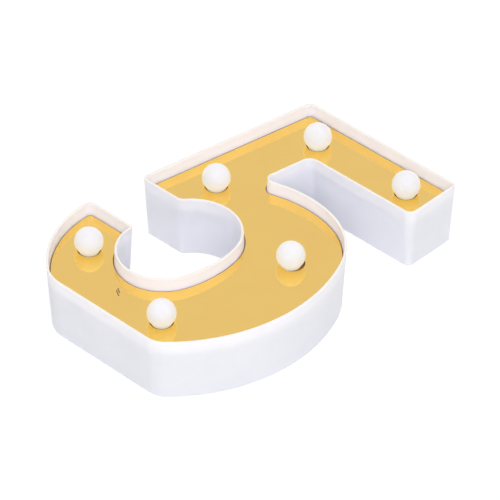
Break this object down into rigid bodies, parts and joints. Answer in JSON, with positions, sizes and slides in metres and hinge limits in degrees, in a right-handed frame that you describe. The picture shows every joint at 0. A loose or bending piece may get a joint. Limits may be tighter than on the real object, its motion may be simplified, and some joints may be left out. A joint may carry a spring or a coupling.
{
  "type": "light up marquee number",
  "caption": "Battery lit marquee numeral five: white tapered channel case with recessed gold mirror panel, opal globes and a back with battery door, switch and keyholes.",
  "frame": {"origin": "middle of the numeral's outline, on the surface that its flat back rests on", "axes": "+X across the numeral to its reading right, +Y up the numeral from the bowl's foot to the bar, +Z out of its lit face"},
  "size_m": [0.1516, 0.22, 0.0473],
  "materials": {
    "white_plastic": "satin moulded",
    "ivory_plastic": "moulded",
    "gold_mirror": "polished gold sheet",
    "opal_plastic": "glossy opal",
    "clear_resin": "clear cast",
    "black_plastic": "moulded",
    "plated_steel": "zinc plated",
    "red_insulation": "smooth",
    "black_insulation": "smooth",
    "cell_jacket": "printed film"
  },
  "bodies": {
    "root": {"case": "white_plastic", "carrier_plate": "ivory_plastic", "mirror_panel": "gold_mirror", "globe_1": "opal_plastic", "globe_2": "opal_plastic", "globe_3": "opal_plastic", "globe_4": "opal_plastic", "globe_5": "opal_plastic", "globe_6": "opal_plastic", "led_1": "clear_resin", "led_2": "clear_resin", "led_3": "clear_resin", "led_4": "clear_resin", "led_5": "clear_resin", "led_6": "clear_resin", "led_holder_1": "ivory_plastic", "led_holder_2": "ivory_plastic", "led_holder_3": "ivory_plastic", "led_holder_4": "ivory_plastic", "led_holder_5": "ivory_plastic", "led_holder_6": "ivory_plastic", "harness_positive": "red_insulation", "harness_negative": "black_insulation", "feed_positive": "red_insulation", "feed_negative": "black_insulation", "feed_switched": "red_insulation", "battery_1": "cell_jacket", "battery_2": "cell_jacket", "contact_positive": "plated_steel", "contact_negative": "plated_steel", "contact_bridge": "plated_steel", "battery_spring_1": "plated_steel", "battery_spring_2": "plated_steel", "switch_body": "black_plastic", "switch_screw_1": "plated_steel", "switch_screw_2": "plated_steel", "case_screw_1": "plated_steel", "case_screw_2": "plated_steel", "case_screw_3": "plated_steel", "case_screw_4": "plated_steel", "case_screw_5": "plated_steel", "case_screw_6": "plated_steel", "case_screw_7": "plated_steel", "case_screw_8": "plated_steel"},
    "battery_door": {"battery_door": "white_plastic"},
    "switch_slider": {"switch_slider": "black_plastic"}
  },
  "joints": [
    {"name": "door_hinge", "type": "hinge", "parent": "root", "child": "battery_door", "pos_m": [0.03999, -0.06995, 0.0003], "axis": [-1, 0, 0], "range_deg": [0, 75]},
    {"name": "switch_slide", "type": "slide", "parent": "root", "child": "switch_slider", "axis": [1, 0, 0], "range_m": [0, 0.004]}
  ]
}
